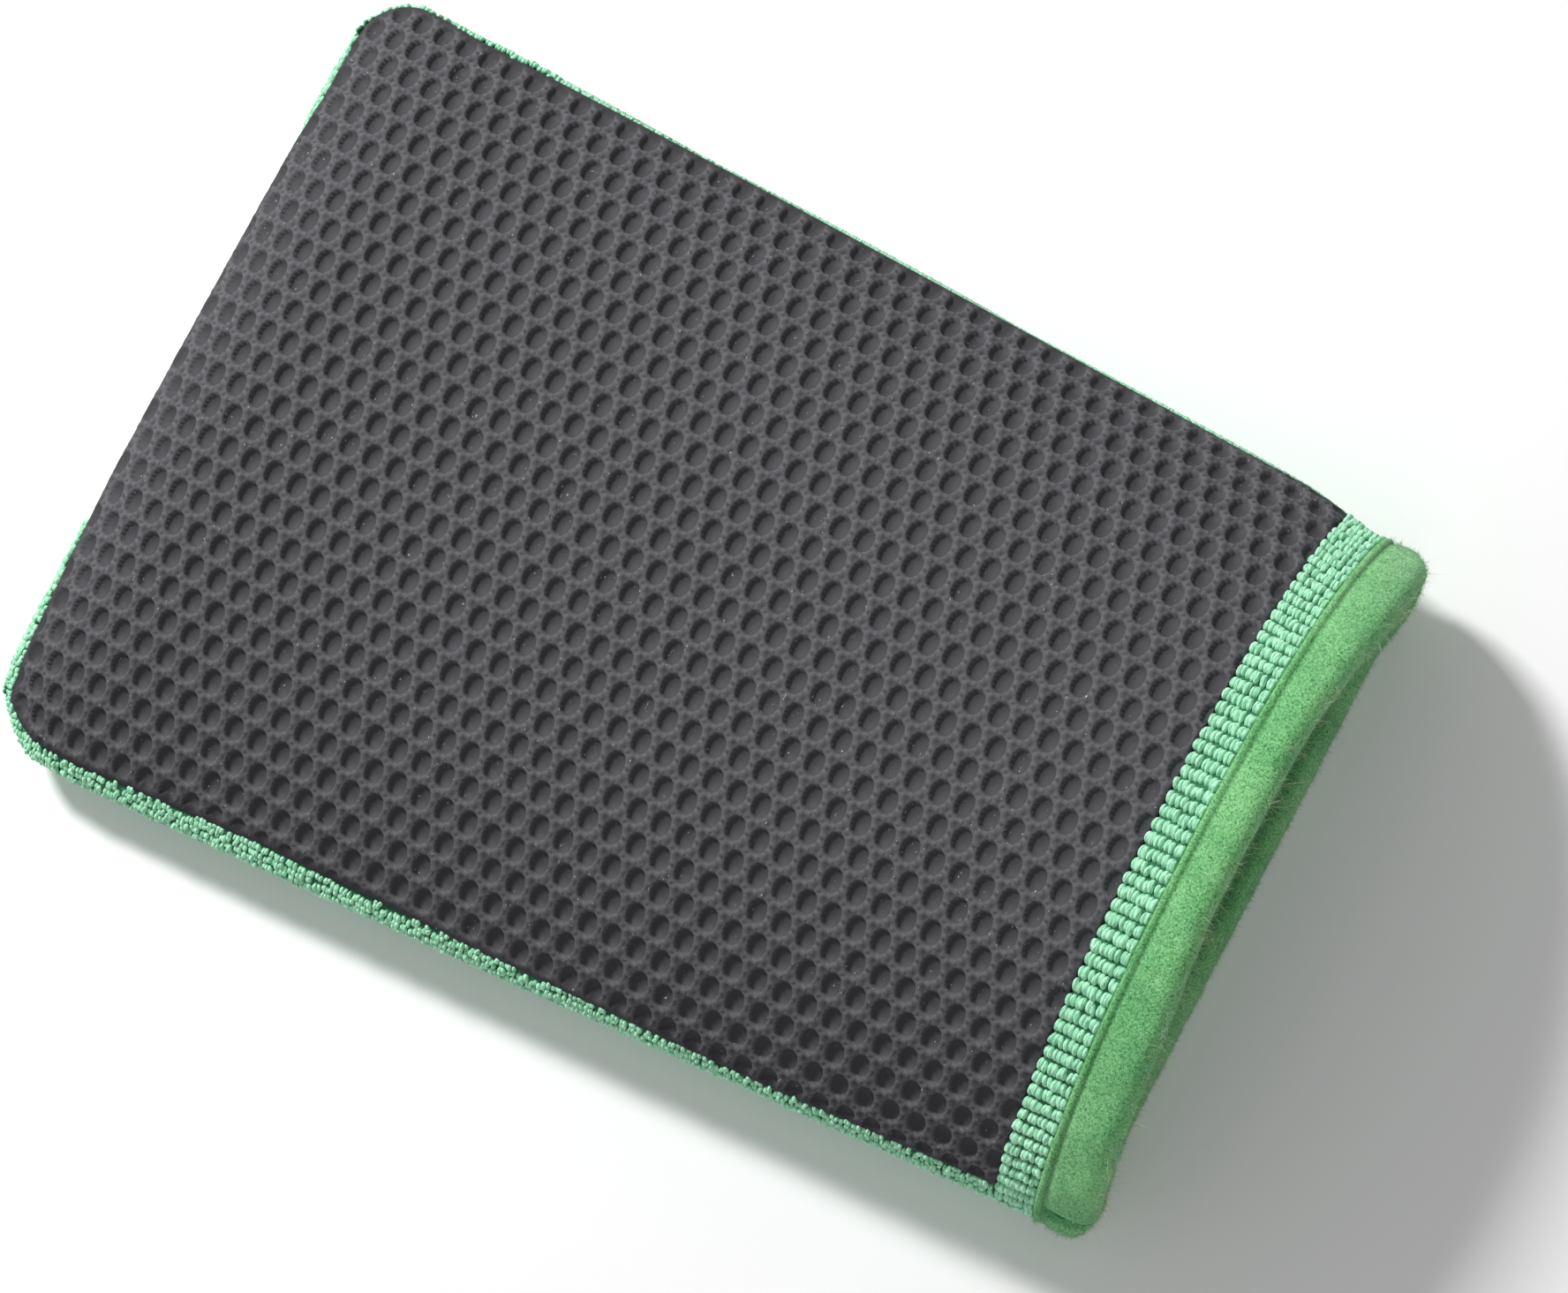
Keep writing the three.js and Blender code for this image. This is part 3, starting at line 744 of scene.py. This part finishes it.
def backCloth():
    us = np.concatenate([
        np.linspace(0.25, bindingStart - 0.3, layers["backRows"] - 2), [bindingStart, layers["layerEnd"]]])
    u, v = net(back, us, layers["backColumns"])
    rib = v / loops["ribPitch"]
    number = np.round(rib)
    ridge = np.clip(1 - (2 * np.abs(rib - number)) ** 2.2, 0, 1) ** 0.6
    phase = np.modf(np.abs(np.sin(number * 12.9898) * 43758.5453))[0]
    beat = u / layers["beadPitch"] + phase + 0.25 * np.sin(u * 0.9 + number)
    bead = 0.72 + 0.28 * np.abs(np.cos(beat * math.pi)) ** 0.7
    high = ridge * bead
    height = -layers["backRib"] * (1 - high)
    underBinding = u > bindingStart - 0.2
    height = np.where(underBinding, 0, height)
    depth = np.where(underBinding, layers["fabricTop"], 0.0)
    outer = back.at(u, v, depth=depth, height=height)
    inner = back.at(u, v, depth=layers["fabricUnder"])
    # Lighter along the rib tops and dark in the valleys between them: painted light and painted shade.
    lift = (0.05 + 0.95 * high).ravel()
    return layer("back_microfibre_cloth", outer, inner, -1, {"lift": lift}, coarse=4)


palmClothPiece = finishPiece(palmCloth(), microfibreMaterial, "microfibre", "palm_microfibre")
backClothPiece = finishPiece(backCloth(), microfibreMaterial, "microfibre", "back_microfibre")


def plainLayer(name, side, kind, outwards):
    count = kind["count"]
    us = np.concatenate([np.linspace(kind["top"] + 0.5, 26, 14), np.linspace(30, layers["layerEnd"], count)])
    u, v = net(side, us, count, 0.8)
    fade = smooth(0, 12, side.reachAt(u) - np.abs(v))
    wave = kind["sag"] * (np.sin(u / 9.0 + np.sin(v / 13.0) * 1.4) * np.sin(v / 11.0 + 0.7)) * fade
    outer, inner = (side.at(u, v, depth=kind[depth], height=wave) for depth in ("top", "under"))
    return layer(name, outer, inner, outwards)


foamPalm = finishPiece(plainLayer("palm_foam_pad", palm, foam, 1), foamMaterial, "foam", "palm_foam")
foamBack = finishPiece(plainLayer("back_foam_pad", back, foam, -1), foamMaterial, "foam", "back_foam")
liningPalm = finishPiece(plainLayer("palm_lining_cloth", palm, lining, 1), liningMaterial, "lining", "palm_lining")
liningBack = finishPiece(plainLayer("back_lining_cloth", back, lining, -1), liningMaterial, "lining", "back_lining")
print("cloth and foam laid in")

# The fleece binding: a strip folded over the mouth, sewn through its groove, its ends joined at one side.
cuff = {
    "outer": [
        (214.0, 1.9), (213.95, 0.8), (214.05, 0.1), (214.35, -0.2), (214.8, -0.25), (215.2, -0.05), (215.5, 0.2),
        (215.85, 0.12), (216.3, -0.12), (216.9, -0.3), (217.8, -0.42), (218.8, -0.5), (219.8, -0.5),
        (220.8, -0.35), (221.6, 0.05), (222.2, 0.7), (222.65, 1.7), (222.8, 3.0), (222.7, 4.4), (222.3, 5.7),
        (221.5, 6.7), (220.3, 7.3), (218.5, 7.6), (216.5, 7.8), (215.3, 8.2), (215.0, 7.8), (215.1, 7.2)],
    "slot": [(216.5, 6.95), (219.2, 6.7), (220.3, 6.0), (220.5, 4.4), (220.3, 2.8), (219.2, 2.15), (216.5, 2.05)],
    "flangePoints": 12, "outsidePoints": 20, "groove": 215.55, "grooveWidth": 0.4, "shaded": (218.0, 222.8),
    "flare": 2.0, "flareEnd": 222, "flareDepth": 5.5, "steps": 2, "around": (300, 240),
    "joinDistance": 5.0, "joinWidth": 0.8, "joinDepth": 1.3, "pucker": 0.16, "backPhase": 200,
}


# Shares of the reach, once round the mouth: from the -Y seam over the palm, then back underneath.
def roundMouth(palmSteps, backSteps):
    return np.linspace(-1, 1, palmSteps, endpoint=False), np.linspace(1, -1, backSteps, endpoint=False)


def cuffGrid():
    profile = np.array(cuff["outer"] + cuff["slot"])
    fine = []
    count = len(profile)
    for k in range(count):
        p0, p1, p2, p3 = (profile[(k + d) % count] for d in (-1, 0, 1, 2))
        for t in np.arange(cuff["steps"]) / cuff["steps"]:
            fine.append(0.5 * (
                2 * p1 + (p2 - p0) * t + (2 * p0 - 5 * p1 + 4 * p2 - p3) * t ** 2
                + (3 * p1 - p0 - 3 * p2 + p3) * t ** 3))
    fine = np.array(fine)
    over, under = roundMouth(*cuff["around"])
    rows = []
    outside = (fine[:, 1] < 6.0) & (np.arange(len(fine)) < cuff["steps"] * cuff["outsidePoints"])
    for isPalm, shares in ((True, over), (False, under)):
        side = palm if isPalm else back
        share, u = np.meshgrid(shares, fine[:, 0], indexing="ij")
        depth = np.broadcast_to(fine[:, 1], share.shape)
        reach = side.reachAt(u)
        around = share * reach
        fromJoin = (around + reach) - cuff["joinDistance"] if isPalm else (around + reach) + cuff["joinDistance"]
        crease = cuff["joinDepth"] * np.exp(-(fromJoin / cuff["joinWidth"]) ** 2)
        crease = crease * smooth(215.0, 216.8, u) * outside
        run = around if isPalm else around + cuff["backPhase"]
        swell = cuff["pucker"] * (np.sin(run / 3.1 + np.sin(run / 7.3) * 2) + 0.6 * np.sin(run / 1.7 + 2))
        swell = swell * smooth(215, 218, u) * outside
        below = np.maximum(depth, 0)
        deep = smooth(1.0, 3.0, depth) * below
        height = -(np.minimum(depth, 0) + (below - deep)) - crease + swell
        if isPalm:
            corner = smooth(0.3, 0.75, share) * (1 - smooth(0.93, 1.0, share)) - 0.5 * smooth(0.8, 1.0, share)
            corner = corner + smooth(-0.05, -0.55, share) * (1 - smooth(-0.93, -1.0, share))
            u = u + cuff["flare"] * corner * smooth(cuff["groove"], cuff["flareEnd"], u) * (depth < cuff["flareDepth"])
        else:
            drawn = cuff["flare"] * 0.5 * smooth(0.8, 1.0, share) * smooth(cuff["groove"], cuff["flareEnd"], u)
            u = u - drawn * (depth < cuff["flareDepth"])
            height = np.where((np.abs(share) < 0.75) & (height > 0), height * 0.1, height)
        rows.append(side.at(u, around, depth=deep, height=height))
    return np.concatenate(rows), fine


def cuffBinding():
    points, fine = cuffGrid()
    rows, columns = points.shape[:2]
    order = np.arange(len(fine)) // cuff["steps"]
    # The groove and the inner face near the mouth get a lower lift, which the fleece paints dark: painted shade.
    grooveShade = np.exp(-((fine[:, 0] - cuff["groove"]) / cuff["grooveWidth"]) ** 2) * (order < cuff["flangePoints"])
    within = order >= cuff["outsidePoints"]
    shade = np.where(within, 0.9 * (1 - smooth(*cuff["shaded"], fine[:, 0])), 0)
    lift = np.broadcast_to(1 - 0.3 * grooveShade - shade, (rows, columns))
    faces = grid(rows, columns, True, True)[:, ::-1]
    return makeMesh("cuff_binding_fleece", points.reshape(-1, 3), [faces], {"lift": lift.ravel()})


cuffPiece = finishPiece(cuffBinding(), fleeceMaterial, "fleece", "cuff_binding")

# The nap: short tapered fibres standing out of the fleece.
nap = {
    "count": 36000, "length": (0.35, 0.9), "width": 0.06, "bend": 0.5, "lean": 0.7,
    "wisps": 1500, "wispLength": (1.0, 2.4), "wispWidth": 0.05, "wispBend": 0.9,
    "drift": 0.35, "rootDepth": 0.12, "most": 1.1, "downwards": -0.85, "shown": (0, 21), "fold": (13, 19),
}


def ribbons(root, way, curl, length, width):
    count = len(root)
    aside = np.cross(way, random.normal(0, 1, (count, 3)))
    aside /= np.linalg.norm(aside, axis=1, keepdims=True)
    half, length = aside * width / 2, length[:, None]
    places = [root + (way * t + curl * t * t) * length for t in (0.0, 0.4, 0.75, 1.0)]
    strips = []
    for place, share in zip(places[:3], (1.0, 0.85, 0.55)):
        strips += [place - half * share, place + half * share]
    points = np.stack([*strips, places[3]], axis=1).reshape(-1, 3)
    points[:, 2] = np.maximum(points[:, 2], sit["clear"])
    start = np.arange(count)[:, None] * 7
    return points, [start + [0, 1, 3, 2], start + [2, 3, 5, 4], start + [4, 5, 6]]


def napFibres():
    mesh = cuffPiece.data
    count = len(mesh.polygons)
    centres, normals, areas = np.empty(count * 3), np.empty(count * 3), np.empty(count)
    mesh.polygons.foreach_get("center", centres)
    mesh.polygons.foreach_get("normal", normals)
    mesh.polygons.foreach_get("area", areas)
    centres, normals = centres.reshape(-1, 3) / mm - [fingertipX, 0, 0], normals.reshape(-1, 3)
    columns = (len(cuff["outer"]) + len(cuff["slot"])) * cuff["steps"]
    column = np.arange(count) % columns // cuff["steps"]
    shown, fold = (areas * (column > low) * (column < high) for low, high in (nap["shown"], nap["fold"]))
    shown = shown * (normals[:, 2] > nap["downwards"])
    fold = fold * (np.arange(count) // columns < cuff["around"][0])
    parts = []
    for weight, number, reach, width, bend in (
            (shown, nap["count"], nap["length"], nap["width"], nap["bend"]),
            (fold, nap["wisps"], nap["wispLength"], nap["wispWidth"], nap["wispBend"])):
        picked = random.choice(count, number, p=weight / weight.sum())
        up = normals[picked]
        drift = random.normal(0, nap["drift"], (number, 3))
        drift -= up * np.sum(drift * up, axis=1, keepdims=True)
        way = up + random.normal(0, nap["lean"], (number, 3))
        way /= np.linalg.norm(way, axis=1, keepdims=True)
        root = centres[picked] + drift - up * nap["rootDepth"]
        curl = np.clip(random.normal(0, bend, (number, 3)), -nap["most"], nap["most"])
        parts.append(ribbons(root, way, curl, random.uniform(*reach, number), width))
    points = np.concatenate([p for p, _ in parts])
    faces = parts[0][1] + [f + len(parts[0][0]) for f in parts[1][1]]
    lift = np.repeat([1.0, 2.0], [len(p) for p, _ in parts])
    return makeMesh("cuff_nap", points, faces, {"lift": lift}, settled=True)


napPiece = finishPiece(napFibres(), fleeceMaterial, "fleece")
print("cuff", len(cuffPiece.data.polygons), "faces,", nap["count"], "fibres")

# Threads: two plies twisted round each other, dipping in and out of the cloth.
stitch = {
    "length": 3.0, "dip": 0.3, "twist": 1.3, "sides": 8, "step": 0.3, "seamInset": 3.35, "seamBelow": 0.35,
    "seam": 0.6, "cuff": 0.4, "join": 0.6, "cuffSink": 0.85, "joinSink": 0.75,
    "joinAlong": (216.9, 218.8, 220.8, 222.0), "joinBulge": (0.2, 0.9, 0.3, -1.0),
}


def thread(name, path, diameter, dip, closed=False):
    path = np.asarray(path, float)
    if closed:
        path = np.concatenate([path, path[:1]])
    run = np.concatenate([[0], np.cumsum(np.linalg.norm(np.diff(path, axis=0), axis=1))])
    count = int(run[-1] / stitch["step"])
    s = np.linspace(0, run[-1], count, endpoint=not closed)
    line = np.stack([np.interp(s, run, path[:, k]) for k in range(3)], axis=1)
    ahead = np.gradient(line, axis=0)
    ahead /= np.linalg.norm(ahead, axis=1, keepdims=True)
    up = np.tile([0.0, 0.0, 1.0], (count, 1))
    aside = np.cross(ahead, up)
    aside /= np.linalg.norm(aside, axis=1, keepdims=True)
    up = np.cross(aside, ahead)
    line = line + up * (dip * np.cos(2 * math.pi * s / stitch["length"]))[:, None]
    turns = np.arange(stitch["sides"]) * 2 * math.pi / stitch["sides"]
    twist = s * 2 * math.pi / stitch["twist"]
    radius = diameter / 2 * (0.72 + 0.28 * np.abs(np.cos(turns[None, :] - twist[:, None] / 2)))
    points = (line[:, None] + aside[:, None] * (radius * np.cos(turns))[..., None]
              + up[:, None] * (radius * np.sin(turns))[..., None])
    faces = [grid(count, stitch["sides"], closed, True)]
    if not closed:
        end = np.arange(stitch["sides"])
        faces += [end[None, ::-1], (end + (count - 1) * stitch["sides"])[None]]
    # lift is low where the thread dips between its plies; the thread material paints shade there.
    lift = (radius / radius.max()).ravel()
    return makeMesh(name, points.reshape(-1, 3), faces, {"lift": lift})


def sideSeam():
    inset = stitch["seamInset"]
    us = np.concatenate([np.linspace(inset, 12, 24), np.linspace(13, bindingStart - 0.7, 60)])
    run = np.stack([us, halfWidth(us, inset), seamHeight(us) - stitch["seamBelow"]], axis=1)
    return thread("side_seam_stitches", np.concatenate([run[::-1], run * [1, -1, 1]]), stitch["seam"], 0.05)


def cuffStitches():
    u = cuff["groove"]
    line = [
        side.at(np.full(len(shares), u), shares * side.reachAt(u), height=-stitch["cuffSink"])
        for side, shares in zip((palm, back), roundMouth(*cuff["around"]))]
    return thread("cuff_stitches", np.concatenate(line), stitch["cuff"], stitch["dip"], closed=True)


def joinStitches():
    us = np.linspace(stitch["joinAlong"][0], stitch["joinAlong"][-1], 12)
    v = -palm.reachAt(us) + cuff["joinDistance"]
    bulge = np.interp(us, stitch["joinAlong"], stitch["joinBulge"])
    return thread("join_stitches", palm.at(us, v, height=bulge - stitch["joinSink"]), stitch["join"], 0.12)


finishPiece(sideSeam(), threadMaterial, "thread", "side_seam_thread")
finishPiece(cuffStitches(), threadMaterial, "thread", "cuff_stitch_thread")
finishPiece(joinStitches(), threadMaterial, "thread", "binding_join_thread")
print("stitched")

# A pale floor, one soft light from the fingertip side, and a wide fill.
studio = {
    "floor": (0.93, 0.93, 0.93), "floorReach": 6, "floorRoughness": 0.9, "world": 0.34,
    "key": {"from": (-0.72, 0.33, 0.61), "distance": 1.5, "size": 0.27, "power": 27},
    "fill": {"from": (0.45, -0.45, 0.77), "distance": 4.0, "size": 3.0, "power": 18},
}


def light(name, settings):
    lamp = bpy.data.lights.new(name, "AREA")
    lamp.size, lamp.energy = settings["size"], settings["power"]
    piece = bpy.data.objects.new(name, lamp)
    way = Vector(settings["from"]).normalized()
    piece.location = way * settings["distance"]
    piece.rotation_euler = way.to_track_quat("Z", "Y").to_euler()
    bpy.context.collection.objects.link(piece)


light("key light", studio["key"])
light("fill light", studio["fill"])
world = bpy.data.worlds.new("studio")
world.use_nodes = True
sky = world.node_tree.nodes["Background"]
sky.inputs["Color"].default_value = (1, 1, 1, 1)
sky.inputs["Strength"].default_value = studio["world"]
bpy.context.scene.world = world

floorMesh = bpy.data.meshes.new("floor")
far = studio["floorReach"]
floorMesh.from_pydata([(-far, -far, 0), (far, -far, 0), (far, far, 0), (-far, far, 0)], [], [(0, 1, 2, 3)])
floor = bpy.data.objects.new("floor", floorMesh)
floorPaint = bpy.data.materials.new("pale floor")
floorPaint.use_nodes = True
floorShader = floorPaint.node_tree.nodes["Principled BSDF"]
floorShader.inputs["Base Color"].default_value = (*studio["floor"], 1)
floorShader.inputs["Roughness"].default_value = studio["floorRoughness"]
floorMesh.materials.append(floorPaint)
bpy.context.collection.objects.link(floor)

camera = {
    "eye": (0.26299, -0.08238, 0.89122), "right": (0.86139, 0.46823, -0.19689),
    "ahead": (-0.26897, 0.09166, -0.95878), "lens": 120.73, "sensor": 36,
}
lens = bpy.data.cameras.new("camera")
lens.lens, lens.sensor_width = camera["lens"], camera["sensor"]
eye = bpy.data.objects.new("camera", lens)
right, behind = Vector(camera["right"]).normalized(), -Vector(camera["ahead"]).normalized()
up = behind.cross(right).normalized()
eye.matrix_world = Matrix.Translation(camera["eye"]) @ Matrix((right, up, behind)).transposed().to_4x4()
bpy.context.collection.objects.link(eye)
bpy.context.scene.camera = eye
bpy.context.scene.view_settings.view_transform = "Standard"
print("studio set")
